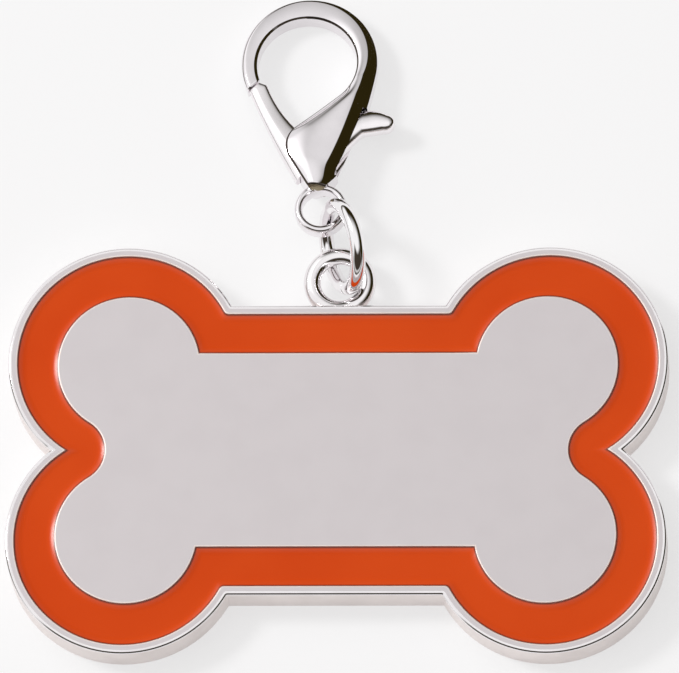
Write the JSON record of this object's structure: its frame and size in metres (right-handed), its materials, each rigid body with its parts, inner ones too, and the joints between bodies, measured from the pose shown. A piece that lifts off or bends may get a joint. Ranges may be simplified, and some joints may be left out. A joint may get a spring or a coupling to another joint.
{
  "type": "pet id tag",
  "caption": "Bone-shaped metal pet tag with an enamel border round a bare name panel, on a jump ring and a sprung lobster clasp.",
  "frame": {"origin": "centre of the tag's flat back face", "axes": "+X along the bone, +Y across the bone towards the loop, the ring and the clasp, +Z out of the enamelled face"},
  "size_m": [0.05, 0.0521, 0.0071],
  "materials": {
    "tag_plating": "polished nickel plating",
    "enamel": "glossy soft enamel",
    "ring_plating": "polished nickel plating",
    "clasp_plating": "polished nickel plating",
    "pin_steel": "plain steel"
  },
  "bodies": {
    "tag": {"tag_body": "tag_plating", "enamel_fill": "enamel"},
    "ring": {"jump_ring": "ring_plating"},
    "clasp": {"clasp_body": "clasp_plating", "pivot_pin": "pin_steel", "gate_spring": "pin_steel"},
    "gate": {"clasp_gate": "clasp_plating"}
  },
  "joints": [
    {"name": "ring_turn", "type": "hinge", "parent": "tag", "child": "ring", "pos_m": [0.00022, 0.01593, 0.00361], "axis": [0.9026, 0.2503, -0.3502], "range_deg": [-20, 95]},
    {"name": "clasp_turn", "type": "hinge", "parent": "ring", "child": "clasp", "pos_m": [-0.00146, 0.01905, 0.0027], "axis": [-0.0024, 0.1042, 0.9946], "range_deg": [-45, 60]},
    {"name": "gate_open", "type": "hinge", "parent": "clasp", "child": "gate", "pos_m": [-0.00165, 0.02293, 0.00229], "axis": [0.0024, -0.1042, -0.9946], "range_deg": [0, 30], "stiffness_Nm_per_rad": 0.003, "springref_deg": -14.9, "deforming": ["gate_spring"]}
  ]
}
